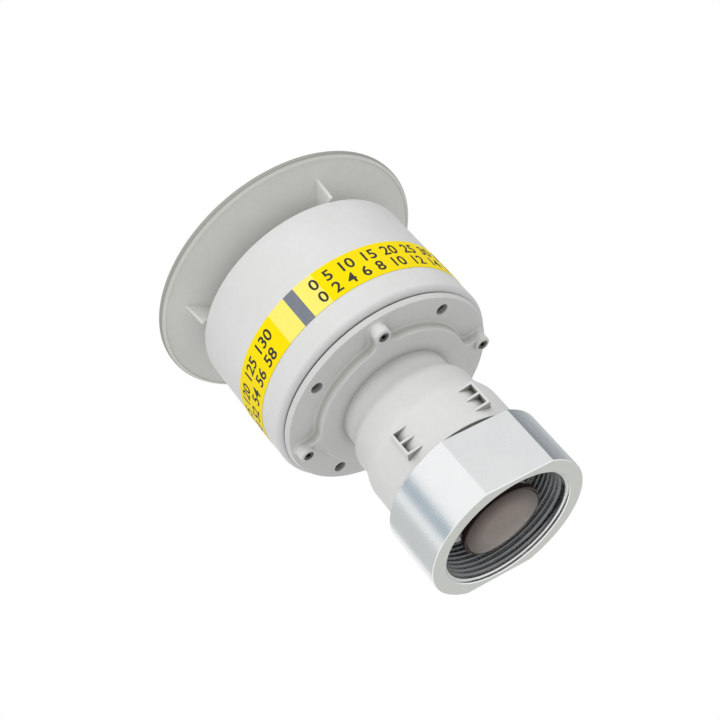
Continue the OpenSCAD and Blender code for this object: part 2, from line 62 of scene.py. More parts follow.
# %% Camera
CAMERA_AT = Vector((-140.67, -503.20, -231.96)) * MM
AIM_AT = Vector((-1.04, 0.29, 106.07)) * MM
ROLL = math.radians(-40.72)
LENS_MM, SENSOR_MM = 71.55, 36
camera = bpy.data.objects.new("camera", bpy.data.cameras.new("camera"))
camera.data.lens, camera.data.sensor_width = LENS_MM, SENSOR_MM
camera.data.clip_start, camera.data.clip_end = 0.01, 20
sight = (AIM_AT - CAMERA_AT).normalized()
turn = sight.to_track_quat("-Z", "Y").to_matrix() @ Matrix.Rotation(ROLL, 3, "Z")
camera.matrix_world = Matrix.Translation(CAMERA_AT) @ turn.to_4x4()
scene.collection.objects.link(camera)
scene.camera = camera
view_right, view_up, view_back = (turn.col[i].copy() for i in range(3))
print("camera distance", round((AIM_AT - CAMERA_AT).length, 3))

# %% [markdown]
# ## Colours and nodes
# Colours are written as the sRGB hex values that a picture editor shows, and one function turns them to the linear
# values that shaders work with. One small function adds any node, with its settings, links and constants.

# %% Colours and nodes
def colour(hex_code):
    parts = [int(hex_code[i:i + 2], 16) / 255 for i in (1, 3, 5)]
    return (*(c / 12.92 if c <= 0.04045 else ((c + 0.055) / 1.055) ** 2.4 for c in parts), 1.0)


def plug(tree, node, inputs):
    for key, value in inputs.items():
        if isinstance(value, bpy.types.NodeSocket):
            tree.links.new(value, node.inputs[key])
        else:
            node.inputs[key].default_value = value


def add(tree, kind, inputs=None, **settings):
    made = tree.nodes.new(kind)
    for name, value in settings.items():
        setattr(made, name, value)
    plug(tree, made, inputs or {})
    return made


def bare_tree(owner):
    owner.use_nodes = True
    owner.node_tree.nodes.clear()
    return owner, owner.node_tree


def new_material(name):
    made, tree = bare_tree(bpy.data.materials.new(name))
    shader = add(tree, "ShaderNodeBsdfPrincipled")
    add(tree, "ShaderNodeOutputMaterial", {"Surface": shader.outputs[0]})
    place = add(tree, "ShaderNodeTexCoord").outputs["Object"]
    return made, tree, shader, place


def per_mm(size):
    """Scale of a texture whose features are this many millimetres across, on coordinates in metres."""
    return 1 / (size * MM)


print("grey", [round(c, 3) for c in colour("#808080")])

# %% [markdown]
# ## Moulded plastics
# The body, drum and cap are injection-moulded in a light grey acetal. The tool's fine spark texture breaks up the
# gloss, so the eye gets a soft sheen and no mirror. A slow change of tone over a few centimetres is the flow of the
# melt and handling, and painted shade darkens the nooks. The grain of a real tool is about 0.1 mm, and is drawn at
# 0.5 mm so that it shows. The poppet is a harder brown plastic, PEEK, which comes glossier from its tool and bends
# light more.

# %% Moulded plastics
def moulded(name, light, dark, roughness, nook_mm=5, shut=0.02, open_at=0.5, nook_shade="#5A5750", ior=1.48):
    """Painted shade where surfaces within nook_mm shade a point: all at an open share of shut, none at open_at."""
    made, tree, shader, place = new_material(name)
    flow = add(tree, "ShaderNodeTexNoise", {"Vector": place, "Scale": per_mm(30), "Detail": 4.0})
    specks = add(tree, "ShaderNodeTexNoise", {"Vector": place, "Scale": per_mm(4), "Detail": 6.0, "Roughness": 0.7})
    both = add(tree, "ShaderNodeMath", {0: flow.outputs[0], 1: specks.outputs[0]}, operation="MULTIPLY")
    tone = add(tree, "ShaderNodeMapRange", {0: both.outputs[0], 1: 0.12, 2: 0.42})
    tint = add(tree, "ShaderNodeMix", {0: tone.outputs[0], 6: colour(dark), 7: colour(light)}, data_type="RGBA")
    # Painted shade: where other surfaces shade a point, its colour goes towards the nook shade colour
    nook = add(tree, "ShaderNodeAmbientOcclusion", {"Distance": nook_mm * MM}, samples=8)
    open_share = add(tree, "ShaderNodeMapRange", {0: nook.outputs["AO"], 1: shut, 2: open_at})
    inks = {0: open_share.outputs[0], 6: colour(nook_shade), 7: tint.outputs[2]}
    nook_shaded = add(tree, "ShaderNodeMix", inks, data_type="RGBA")
    grain = add(tree, "ShaderNodeTexNoise", {"Vector": place, "Scale": per_mm(0.5), "Detail": 2.0})
    span = {3: roughness - 0.05, 4: roughness + 0.07}
    gloss = add(tree, "ShaderNodeMapRange", {0: specks.outputs[0], 1: 0.3, 2: 0.7, **span})
    bump = add(tree, "ShaderNodeBump", {"Height": grain.outputs[0], "Strength": 0.12, "Distance": 0.04 * MM})
    plug(tree, shader, {"Base Color": nook_shaded.outputs[2], "Roughness": gloss.outputs[0]})
    plug(tree, shader, {"Normal": bump.outputs[0], "IOR": ior})
    return made


# Light grey with a satin sheen, for the drum and the lid
grey_acetal = moulded("moulded_grey_acetal", "#DCDDDC", "#D6D7D5", 0.42)
# The same grey with more painted shade in its many corners, for the body
body_nook_shade = {"nook_mm": 9, "shut": 0.1, "open_at": 0.72, "nook_shade": "#77746A"}
body_acetal = moulded("moulded_grey_acetal_body", "#DCDDDB", "#D5D6D3", 0.42, **body_nook_shade)
# Lighter, warmer and duller, for the cap; the lighter tone is painted light that its flared underside catches
cap_acetal = moulded("moulded_grey_acetal_cap", "#E2E3DE", "#DBDCD6", 0.46)
# Uncoloured and slightly waxy, for the tube, guide and stop inside
white_acetal = moulded("natural_white_acetal", "#E6E6E0", "#DCDCD5", 0.38)
# Brown-grey and glossy enough to mirror the dark thread
poppet_peek = moulded("moulded_brown_peek", "#8D7E78", "#82736D", 0.16, ior=1.67)
print("mouldings", grey_acetal.name, body_acetal.name, cap_acetal.name, white_acetal.name, poppet_peek.name)

# %% [markdown]
# ## Turned metals
# The collar is turned from bar and its flats are milled. The cutter leaves fine rings round the axis, which stretch
# each highlight across them. The rings are a noise that is stretched round the axis and stays fine along Z. A real feed
# mark is about 0.15 mm wide, and it is drawn at 0.4 mm so that it shows. A bump and a change of roughness, both from
# that noise, give the streaks. The steel and brass pieces inside come off a lathe too, so they share the function.

# %% Turned metals
def turned_metal(name, light, dark, roughness, mark_mm=0.4, spread=0.08, depth=0.01):
    made, tree, shader, place = new_material(name)
    squeeze = add(tree, "ShaderNodeMapping", {"Vector": place, "Scale": (0.02, 0.02, 1.0)})
    marks = add(tree, "ShaderNodeTexNoise", {"Vector": squeeze.outputs[0], "Scale": per_mm(mark_mm), "Detail": 3.0})
    stains = add(tree, "ShaderNodeTexNoise", {"Vector": place, "Scale": per_mm(9), "Detail": 5.0})
    tint = add(tree, "ShaderNodeMix", {0: stains.outputs[0], 6: colour(dark), 7: colour(light)}, data_type="RGBA")
    both = add(tree, "ShaderNodeMath", {0: marks.outputs[0], 1: stains.outputs[0]}, operation="ADD")
    span = {3: roughness - spread, 4: roughness + spread}
    gloss = add(tree, "ShaderNodeMapRange", {0: both.outputs[0], 1: 0.6, 2: 1.4, **span})
    bump = add(tree, "ShaderNodeBump", {"Height": marks.outputs[0], "Strength": 0.35, "Distance": depth * MM})
    plug(tree, shader, {"Base Color": tint.outputs[2], "Roughness": gloss.outputs[0]})
    plug(tree, shader, {"Normal": bump.outputs[0], "Metallic": 1.0})
    return made


# Bright and smooth, so the collar mirrors the room in broad soft bands
turned_aluminium = turned_metal("turned_aluminium", "#F5F6F6", "#EDEEEF", 0.27, spread=0.02, depth=0.0015)
# Darker and rougher, as a tap leaves it; the darker tone is painted shade down in the bore
shaded_thread_aluminium = turned_metal("cut_thread_aluminium", "#8C8E8F", "#5C5E60", 0.36, mark_mm=0.6)
# Warm grey with clear turning marks
stainless_steel = turned_metal("turned_stainless_steel", "#CFCFCC", "#BDBDBA", 0.3, mark_mm=0.3)
# Steel painted dark as painted shade, so the screws read as dark dots down in their deep bosses
shaded_screw_steel = turned_metal("shaded_screw_steel", "#7C7B77", "#504F4B", 0.24, mark_mm=0.2)
# Bluish and dull, for the weight
plated_steel = turned_metal("zinc_plated_steel", "#AEB2B8", "#9A9EA6", 0.38, mark_mm=0.5)
# Streaked by the drawing die, for the spring and the screen
drawn_wire = turned_metal("drawn_steel_wire", "#C4C4C0", "#A9A9A5", 0.33, mark_mm=0.2)
# Yellow metal, for the inserts
insert_brass = turned_metal("knurled_brass", "#D9B566", "#B98F43", 0.34, mark_mm=0.3)
print("metals", turned_aluminium.name, stainless_steel.name, insert_brass.name)

# %% [markdown]
# ## Rubber
# Seals are pressed from filled rubber: black nitrile for the gasket and the ring in the collar, brown fluorocarbon
# for the two valve seals. A dusting of talc lightens it in patches, and it has nearly no gloss. The grain is drawn at
# 0.4 mm, a few times the real one, so that it shows.

# %% Rubbers
def pressed_rubber(name, base, dusty, roughness=0.62):
    made, tree, shader, place = new_material(name)
    dust = add(tree, "ShaderNodeTexNoise", {"Vector": place, "Scale": per_mm(2.5), "Detail": 6.0, "Roughness": 0.65})
    share = add(tree, "ShaderNodeMapRange", {0: dust.outputs[0], 1: 0.45, 2: 0.75})
    tint = add(tree, "ShaderNodeMix", {0: share.outputs[0], 6: colour(base), 7: colour(dusty)}, data_type="RGBA")
    grain = add(tree, "ShaderNodeTexNoise", {"Vector": place, "Scale": per_mm(0.4), "Detail": 3.0})
    bump = add(tree, "ShaderNodeBump", {"Height": grain.outputs[0], "Strength": 0.2, "Distance": 0.03 * MM})
    gloss = add(tree, "ShaderNodeMapRange", {0: dust.outputs[0], 3: roughness - 0.08, 4: roughness + 0.15})
    plug(tree, shader, {"Base Color": tint.outputs[2], "Roughness": gloss.outputs[0]})
    plug(tree, shader, {"Normal": bump.outputs[0], "IOR": 1.52})
    return made


# Nearly black and matt, the dark line under the drum
black_nitrile = pressed_rubber("black_nitrile_rubber", "#1C1C1B", "#383735")
# Dark reddish brown with a faint sheen, the ring round the poppet
brown_fluorocarbon = pressed_rubber("brown_fluorocarbon_rubber", "#2A1813", "#36241C", 0.4)
print("rubbers", black_nitrile.name, brown_fluorocarbon.name)

# %% [markdown]
# ## Printed film
# The band is a yellow vinyl film, printed and wrapped round the drum. Its ends meet under a grey mark, and beside the
# mark the print is paler, as if washed out. The distance round the drum comes from the angle about Z, so the colour
# steps are laid out in real millimetres along the band. A matt varnish takes nearly all its gloss, so the yellow stays
# deep. The ink of the numbers is a plain black with a dull shine.

# %% Printed film
DRUM_R, SEAM_AT = 53.1, math.radians(-112)
MARK_W, PALE_W = 5.6, 24.4
film, tree, shader, place = new_material("printed_yellow_vinyl")
turned = add(tree, "ShaderNodeMapping", {"Vector": place, "Rotation": (0, 0, -SEAM_AT)})
axes = add(tree, "ShaderNodeSeparateXYZ", {0: turned.outputs[0]})
angle = add(tree, "ShaderNodeMath", {0: axes.outputs[1], 1: axes.outputs[0]}, operation="ARCTAN2")
along = add(tree, "ShaderNodeMath", {0: angle.outputs[0], 1: DRUM_R}, operation="MULTIPLY")
away = add(tree, "ShaderNodeMath", {0: along.outputs[0]}, operation="ABSOLUTE")
in_mark = add(tree, "ShaderNodeMapRange", {0: away.outputs[0], 1: MARK_W / 2 + 0.08, 2: MARK_W / 2 - 0.08})
in_pale = add(tree, "ShaderNodeMapRange", {0: away.outputs[0], 1: PALE_W / 2 + 0.15, 2: PALE_W / 2 - 0.15})
ink = add(tree, "ShaderNodeTexNoise", {"Vector": place, "Scale": per_mm(1.2), "Detail": 5.0, "Roughness": 0.7})
worn = add(tree, "ShaderNodeMapRange", {0: ink.outputs[0], 1: 0.35, 2: 0.75})
PRINTS = (("#FBE300", "#F8DC06"), ("#FCEE78", "#F9E867"), ("#777B86", "#848892"))  # fresh and worn: yellow, pale, grey
strong, weak, mark = (
    add(tree, "ShaderNodeMix", {0: worn.outputs[0], 6: colour(fresh), 7: colour(old)}, data_type="RGBA")
    for fresh, old in PRINTS)
yellow = add(tree, "ShaderNodeMix", {0: in_pale.outputs[0], 6: strong.outputs[2], 7: weak.outputs[2]}, data_type="RGBA")
whole = add(tree, "ShaderNodeMix", {0: in_mark.outputs[0], 6: yellow.outputs[2], 7: mark.outputs[2]}, data_type="RGBA")
gloss = add(tree, "ShaderNodeMapRange", {0: ink.outputs[0], 3: 0.32, 4: 0.5})
bump = add(tree, "ShaderNodeBump", {"Height": ink.outputs[0], "Strength": 0.1, "Distance": 0.02 * MM})
plug(tree, shader, {"Base Color": whole.outputs[2], "Roughness": gloss.outputs[0]})
plug(tree, shader, {"Normal": bump.outputs[0], "Specular IOR Level": 0.05})

black_ink, tree, shader, place = new_material("screen_printed_black_ink")
ink = add(tree, "ShaderNodeTexNoise", {"Vector": place, "Scale": per_mm(0.6), "Detail": 4.0})
tint = add(tree, "ShaderNodeMix", {0: ink.outputs[0], 6: colour("#171610"), 7: colour("#2B2A20")}, data_type="RGBA")
gloss = add(tree, "ShaderNodeMapRange", {0: ink.outputs[0], 3: 0.4, 4: 0.6})
plug(tree, shader, {"Base Color": tint.outputs[2], "Roughness": gloss.outputs[0]})
print("film", film.name, "mark", MARK_W, "mm, pale", PALE_W, "mm")

# %% [markdown]
# ## Profiles
# Most of the valve is round, so most pieces are a profile turned about Z. A profile is a list of corners, each a
# radius, a height and the fillet that a moulding or a lathe leaves there. A fillet is a short arc that touches both
# sides of its corner. It takes less than half of a side, so two fillets on a short side can't cross.

# %% Profiles
SIDE_SHARE = 0.49


def rounded(corners, closed=True, steps=5):
    """Points (radius, height) of a profile, with an arc of some steps at each corner that has a fillet."""
    points = []
    count = len(corners)
    for i, (r, z, fillet) in enumerate(corners):
        here = np.array([r, z], float)
        if fillet == 0 or (not closed and i in (0, count - 1)):
            points.append(here)
            continue
        to_last = np.array(corners[i - 1][:2], float) - here
        to_next = np.array(corners[(i + 1) % count][:2], float) - here
        room = SIDE_SHARE * min(np.linalg.norm(to_last), np.linalg.norm(to_next))
        to_last /= np.linalg.norm(to_last)
        to_next /= np.linalg.norm(to_next)
        half = math.acos(max(-1.0, min(1.0, float(to_last @ to_next)))) / 2
        reach = min(fillet / math.tan(half), room)
        radius = reach * math.tan(half)
        middle = to_last + to_next
        centre = here + middle / np.linalg.norm(middle) * radius / math.sin(half)
        first, last = here + to_last * reach - centre, here + to_next * reach - centre
        swing = math.atan2(first[0] * last[1] - first[1] * last[0], first @ last)
        for k in range(steps + 1):
            a = swing * k / steps
            points.append(centre + [first[0] * math.cos(a) - first[1] * math.sin(a),
                                    first[0] * math.sin(a) + first[1] * math.cos(a)])
    return np.array(points)


SQUARE = [(1, 0, 0.1), (2, 0, 0.1), (2, 1, 0.1), (1, 1, 0.1)]
print("points of a filleted square", len(rounded(SQUARE)))

# %% [markdown]
# ## From rings to a mesh
# Every point of a profile becomes one ring of the mesh, and faces join each ring to the next. A ring on the axis
# shrinks to a single point, so that a disc closes in its middle. Rings may also follow an outline that isn't round, or
# be the sections of a wire, with a cap on each end. With 192 columns a side of the drum is 1.7 mm long, too short
# to show as a facet.

# %% From rings to a mesh
SMOOTH_UNDER = 32


def evenly(count):
    return np.linspace(0, 2 * math.pi, count, endpoint=False)


def placed(name, shape, smooth_under=None):
    """A finished bmesh as an object in the scene. Faces that meet under an angle in degrees are shaded as one."""
    mesh = bpy.data.meshes.new(name)
    shape.to_mesh(mesh)
    shape.free()
    if smooth_under:
        mesh.shade_smooth()
        mesh.set_sharp_from_angle(angle=math.radians(smooth_under))
    made = bpy.data.objects.new(name, mesh)
    scene.collection.objects.link(made)
    return made


def skin(name, rows, closed=True, smooth_under=SMOOTH_UNDER, capped=False):
    """Mesh whose rings are the rows of an array (rows, columns, 3) in mm. A closed one joins last to first."""
    rows = np.asarray(rows, float)
    n, m = rows.shape[:2]
    shape = bmesh.new()
    rings = []
    for row in rows:
        if not closed and np.allclose(row[:, :2], 0, atol=1e-6):
            rings.append([shape.verts.new(row[0] * MM)] * m)
        else:
            rings.append([shape.verts.new(p * MM) for p in row])
    for i in range(n if closed else n - 1):
        low, high = rings[i], rings[(i + 1) % n]
        for j in range(m):
            k = (j + 1) % m
            corner = list(dict.fromkeys([low[j], low[k], high[k], high[j]]))
            if len(corner) > 2:
                shape.faces.new(corner)
    if capped:
        shape.faces.new(rings[0][::-1])
        shape.faces.new(rings[-1])
    bmesh.ops.recalc_face_normals(shape, faces=shape.faces)
    return placed(name, shape, smooth_under)


def outline_row(radii, z, angles):
    return np.stack([radii * np.cos(angles), radii * np.sin(angles), z + 0 * angles], axis=-1)


def turned_rows(profile, angles):
    return outline_row(profile[:, :1], profile[:, 1:], angles)


FULL = evenly(192)


def lathe(name, corners, closed=True, steps=5):
    return skin(name, turned_rows(rounded(corners, closed, steps), FULL), closed)


print("columns", len(FULL))

# %% [markdown]
# ## Joining and cutting
# Lugs, bosses and fins are moulded in one piece with what carries them, and screw and drain holes go right through.
# Boolean operations on closed meshes give both. The result is applied at once, so the piece that rides is one plain,
# watertight mesh.

# %% Joining and cutting
SOLVER = "MANIFOLD"


def evaluated_mesh(made):
    bpy.context.view_layer.update()
    return bpy.data.meshes.new_from_object(made.evaluated_get(bpy.context.evaluated_depsgraph_get()))


def combined(target, tools, operation):
    for tool in tools:
        step = target.modifiers.new("combine", "BOOLEAN")
        step.operation = operation
        step.solver = SOLVER
        step.object = tool
        result = evaluated_mesh(target)
        target.modifiers.clear()
        target.data = result
        bpy.data.objects.remove(tool)
    target.data.shade_smooth()
    target.data.set_sharp_from_angle(angle=math.radians(SMOOTH_UNDER))


print("joining by", SOLVER)

# %% [markdown]
# ## Bars and rods
# These are the tools for joining and cutting. A rib is a bar with rounded edges, because no moulding has sharp ones. A
# boss or a hole is a rod, turned about an axis of its own, and most stand at four places on a circle.

# %% Bars and rods
ROD_ANGLES = evenly(48)


def bar(name, low, high, edge, turned_by=0.0):
    """Box between two corners in millimetres, with rounded edges, turned about Z by an angle."""
    shape = bmesh.new()
    bmesh.ops.create_cube(shape, size=1)
    low, high = np.array(low, float), np.array(high, float)
    for v in shape.verts:
        v.co = Vector((low + high) / 2 + np.array(v.co) * (high - low))
    bmesh.ops.bevel(shape, geom=shape.edges, offset=edge, segments=2, affect="EDGES", profile=0.5)
    shape.transform(Matrix.Scale(MM, 4) @ Matrix.Rotation(turned_by, 4, "Z"))
    return placed(name, shape)


def rod(name, centre, corners):
    """Turned form that stands away from the axis: its corners are turned about a centre (x, y) in millimetres."""
    made = skin(name, turned_rows(rounded(corners, closed=False, steps=4), ROD_ANGLES), closed=False)
    made.data.transform(Matrix.Translation((centre[0] * MM, centre[1] * MM, 0)))
    return made


def straight(radius, low, high, edge=0):
    """Corners of a plain rod between two heights, with a fillet at its upper end."""
    return [(0, low, 0), (radius, low, 0), (radius, high, edge), (0, high, 0)]


def around(radius, first=0.0):
    """Centres (x, y) of four places spaced evenly round the axis, the first at an angle."""
    turns = [first + 2 * math.pi * i / 4 for i in range(4)]
    return [(radius * math.cos(a), radius * math.sin(a)) for a in turns]


def drilled(name, corners, *places):
    """Tools for holes or bosses that repeat round the axis."""
    return [rod(name, c, corners) for c in around(*places)]


print("places on a 10 mm circle", np.round(around(10), 1).tolist())

# %% [markdown]
# ## Dressing a piece
# A finished piece gets its material, rides on the body that carries it, and takes the place of its CAD solid. Weighted
# normals keep its flat faces flat beside rounded edges. Painted shade darkens a wall or a rim: it comes in along one or
# more ramps, each a distance from the axis or along it, and their shares multiply.

# %% Dressing a piece
def dress(piece, material, body, slot, *nodes):
    piece.data.materials.clear()
    piece.data.materials.append(material)
    even = piece.modifiers.new("flat_faces_stay_flat", "WEIGHTED_NORMAL")
    even.keep_sharp = True
    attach(piece, body)
    if nodes:
        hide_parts(*nodes)
    print(piece.name, "faces", len(piece.data.polygons), "on", body)


def painted_shade(made, shade_tone, *ramps):
    """Painted shade along each ramp: the axes that its distance is measured on, its start and its end in mm."""
    tree = made.node_tree
    shader = next(n for n in tree.nodes if n.type == "BSDF_PRINCIPLED")
    clean = shader.inputs["Base Color"].links[0].from_socket
    place = add(tree, "ShaderNodeTexCoord").outputs["Object"]
    share = 1.0
    for axes, start, full in ramps:
        kept = add(tree, "ShaderNodeVectorMath", {0: place, 1: axes}, operation="MULTIPLY")
        far = add(tree, "ShaderNodeVectorMath", {0: kept.outputs[0]}, operation="LENGTH")
        ramp = add(tree, "ShaderNodeMapRange", {0: far.outputs["Value"], 1: start * MM, 2: full * MM})
        share = add(tree, "ShaderNodeMath", {0: ramp.outputs[0], 1: share}, operation="MULTIPLY").outputs[0]
    # Painted shade: the clean colour goes towards the shade tone where the ramps' shares are high
    mixed = add(tree, "ShaderNodeMix", {0: share, 6: clean, 7: colour(shade_tone)}, data_type="RGBA")
    tree.links.new(mixed.outputs[2], shader.inputs["Base Color"])


print("materials so far", len(bpy.data.materials))

# %% [markdown]
# ## The threaded collar
# The collar is a turned ring with two flats milled for a wrench. Its outline at an angle is the smaller of the bar's
# radius and the flat's distance. A soft minimum of the two rounds the corner between them by less than a tenth of a
# millimetre, as deburring does. Extra columns stand close together at the four corners, so these stay crisp. The
# mouth has a shallow step ahead of the thread, and its edges are broken too.

# %% The threaded collar
COLLAR_R, COLLAR_H, FLAT_AT, EDGE_BREAK = 37.0, 30.0, 33.35, 0.08
BORE_R, BORE_TOP, SPIGOT_HOLE_R, LEAD_IN = 29.3, 22.0, 27.0, 0.6
FLAT_TURN, NEAR_DEG, NEAR_COLUMNS = math.radians(-77), 2.4, 17
flat_half = math.acos(FLAT_AT / COLLAR_R)
edges = [FLAT_TURN + side + s * flat_half for side in (0, math.pi) for s in (-1, 1)]
near = np.radians(np.linspace(-NEAR_DEG, NEAR_DEG, NEAR_COLUMNS))
collar_angles = np.sort(np.concatenate([FULL, *(np.mod(e + near, 2 * math.pi) for e in edges)]))


def collar_outline(inset):
    to_flat = (FLAT_AT - inset) / np.maximum(np.abs(np.cos(collar_angles - FLAT_TURN)), 0.5)
    return -EDGE_BREAK * np.logaddexp(-(COLLAR_R - inset) / EDGE_BREAK, -to_flat / EDGE_BREAK)


mouth = [(BORE_R, 1.7, 0), (30.2, 1.5, 0.1), (30.25, 0.35, 0.1), (30.6, 0.0, 0.12), (33, 0, 0)]
quarter = [(0.7, 0.0), (0.35, 0.09), (0.09, 0.35), (0.0, 0.7)]  # inset and height of a 0.7 mm rounding
outer = quarter + [(inset, COLLAR_H - z) for inset, z in quarter[::-1]]
upper = np.array([(SPIGOT_HOLE_R + LEAD_IN, COLLAR_H), (SPIGOT_HOLE_R, COLLAR_H - LEAD_IN),
                  (SPIGOT_HOLE_R, BORE_TOP), (BORE_R, BORE_TOP)])
rows = list(turned_rows(rounded(mouth, closed=False)[:-1], collar_angles))
rows += [outline_row(collar_outline(inset), z, collar_angles) for inset, z in outer]
rows += list(turned_rows(upper, collar_angles))
collar = skin("collar", rows, smooth_under=24)
dress(collar, turned_aluminium, "housing", "collar_aluminium", "threaded_collar")

# %% [markdown]
# ## The pipe thread
# A tapered pipe thread of this size has 11.5 turns to the inch, so one turn rises 2.21 mm, and the taper is 1 in 16
# on the diameter. The ridge is swept along a helix: each ring is one cross-section, and its height fades out at both
# ends, as a cutter leaves it. It is sunk a little into the bore, so no gap shows.

# %% The pipe thread
PITCH, TAPER = 25.4 / 11.5, 1 / 32
THREAD_LOW, THREAD_HIGH, THREAD_DEPTH = 3.2, 21.4, 0.85
SUNK_R, ROOT_R, ROOT_HALF, CREST_HALF = 29.6, 29.28, 0.98, 0.14
FADE_TURNS, STEPS_A_TURN = 0.35, 120
turns = (THREAD_HIGH - THREAD_LOW) / PITCH
share = np.linspace(0, 1, int(turns * STEPS_A_TURN) + 1)
fade = np.clip(np.minimum(share, 1 - share) * turns / FADE_TURNS, 0.02, 1)
crest = BORE_R - fade * (THREAD_DEPTH + (THREAD_HIGH - THREAD_LOW) * share * TAPER)
sections = []
for a, z, top in zip(share * turns * 2 * math.pi, THREAD_LOW + share * turns * PITCH, crest):
    half = [(SUNK_R, ROOT_HALF), (ROOT_R, ROOT_HALF), (top, CREST_HALF)]
    ridge = [(r, -dz) for r, dz in half] + half[::-1]
    sections.append([(r * math.cos(a), r * math.sin(a), z + dz) for r, dz in ridge])
thread = skin("pipe_thread", sections, closed=False, smooth_under=30, capped=True)
dress(thread, shaded_thread_aluminium, "housing", "collar_aluminium")
print("thread turns", round(turns, 1))

# %% [markdown]
# ## The step's outline
# The flange's raised step runs out to the four screw bosses in concave curves. Every ray from the axis meets that
# outline once, so it can be written as a radius for each angle: the step's circle, the curve that leaves it, and the
# boss's straight side and round tip. The columns of the mesh are spaced by length along the outline, which puts many
# of them on the short sides of the bosses.

# %% The step's outline
STEP_R, BOSS_R, BOSS_AT, STEP_FILLET = 37.2, 3.3, 45.0, 4.5
BODY_COLUMNS = 560


def step_outline(angles, inset=0.0):
    """Radius at each angle, with the outline drawn in by an inset. The concave curve's centre is at fx, fy."""
    half, step, fillet = BOSS_R - inset, STEP_R - inset, STEP_FILLET + inset
    fx = half + fillet
    fy = math.sqrt((step + fillet) ** 2 - fx ** 2)
    off = np.abs((angles + math.pi / 4) % (math.pi / 2) - math.pi / 4)
    u = np.stack([np.sin(off), np.cos(off)], axis=-1)
    along = u @ np.array([fx, fy])
    curve = along - np.sqrt(np.maximum(along ** 2 - fx ** 2 - fy ** 2 + fillet ** 2, 0))
    side = half / np.maximum(np.sin(off), 1e-6)
    tip = BOSS_AT * np.cos(off) + np.sqrt(np.maximum(half ** 2 - (BOSS_AT * np.sin(off)) ** 2, 0))
    boss = np.where(BOSS_AT * np.sin(off) < half, tip, side)
    return np.where(off > math.atan2(fx, fy), step, np.where(off > math.atan2(half, fy), curve, boss))


fine = np.linspace(0, 2 * math.pi, 20001)
outline = step_outline(fine)
walk = np.hypot(np.diff(outline * np.cos(fine)), np.diff(outline * np.sin(fine)))
walk = np.concatenate([[0], np.cumsum(walk)])
body_angles = np.interp(np.linspace(0, walk[-1], BODY_COLUMNS, endpoint=False), walk, fine)
print("outline length", round(walk[-1], 1), "mm")

# %% [markdown]
# ## The body's skin
# The body is one moulding: spigot, barrel, neck and flange. One skin of rings makes it: round ones for the barrel, and
# ones that follow the step's outline, inset or outset, over the step's wall. The barrel narrows to the neck in two
# halves of a cosine wave, because the melt flows best where walls change slowly. The step's wall has a rounded edge
# below and a hollow at its foot, and the corner at the neck is left sharp, as the two halves of the tool leave it.

# %% The body's skin
FLANGE_Z, FLANGE_TOP, STEP_Z, NECK_R, INSIDE_R = 84.5, 87.1, 80.0, 26.0, 22.5
SPIGOT_R, SPIGOT_LOW, TOWER_TOP, FOOT_LIMIT, FOOT_OUT = 26.85, 23.0, 92.1, 49.4, -1.7
BARREL_R, BARREL_LOW, WAIST_R, TAPER_Z, TAPER_H, SHOULDER_Z, SHOULDER_H = 32.2, 31.8, 29.4, 49.5, 11.0, 65.0, 8.0


def half_wave(from_r, to_r, z, height, count):
    drop = (from_r - to_r) / 2
    return [(to_r + drop * (1 + math.cos(math.pi * t)), z + height * t, 0) for t in np.linspace(0, 1, count)]


taper = half_wave(BARREL_R, WAIST_R, TAPER_Z, TAPER_H, 13)
shoulder = half_wave(WAIST_R, NECK_R, SHOULDER_Z, SHOULDER_H, 15)
below = rounded([
    (INSIDE_R, 60.0, 0), (INSIDE_R, SPIGOT_LOW, 0.4), (SPIGOT_R, SPIGOT_LOW, 0.6), (SPIGOT_R, COLLAR_H, 0),
    (30.4, COLLAR_H, 0), (30.4, BARREL_LOW, 0.2), (BARREL_R, BARREL_LOW, 0.3), *taper, *shoulder,
    (NECK_R, 74.5, 0), (NECK_R, STEP_Z, 0), (31.0, STEP_Z, 0),
], closed=False, steps=8)
step_wall = [(0.9, STEP_Z), (0.6, 80.03), (0.36, 80.12), (0.17, 80.28), (0.05, 80.5), (0.0, 80.8), (-0.2, 83.0),
             (-0.3, 83.5), (-0.55, 83.95), (-0.9, 84.28), (-1.3, 84.45), (FOOT_OUT, FLANGE_Z)]
above = rounded([
    (48.0, FLANGE_Z, 0), (50.05, FLANGE_Z, 0.5), (50.9, FLANGE_TOP, 0.2), (NECK_R, FLANGE_TOP, 0.6),
    (NECK_R, TOWER_TOP, 0.3), (INSIDE_R, TOWER_TOP, 0.3), (INSIDE_R, 60.0, 0),
], closed=False, steps=4)[1:-1]
rows = list(turned_rows(below, body_angles))
for inset, z in step_wall:
    rows.append(outline_row(np.minimum(step_outline(body_angles, inset), FOOT_LIMIT), z, body_angles))
foot = np.minimum(step_outline(body_angles, FOOT_OUT), FOOT_LIMIT)
for share in (0.25, 0.5, 0.75):
    rows.append(outline_row(foot + (49.5 - foot) * share, FLANGE_Z, body_angles))
rows += list(turned_rows(above, body_angles))
body = skin("body_moulding", rows)
print("body rings", len(rows), "of", BODY_COLUMNS, "columns")

# %% [markdown]
# ## Lugs and bosses
# The barrel carries two lugs for a wrench, each of three ribs between two spines. They are open because thick plastic
# sinks as it cools. The ribs run right through the barrel here, and the bore is cleared afterwards. Each boss narrows
# a little towards its end, so that it slides out of the tool.

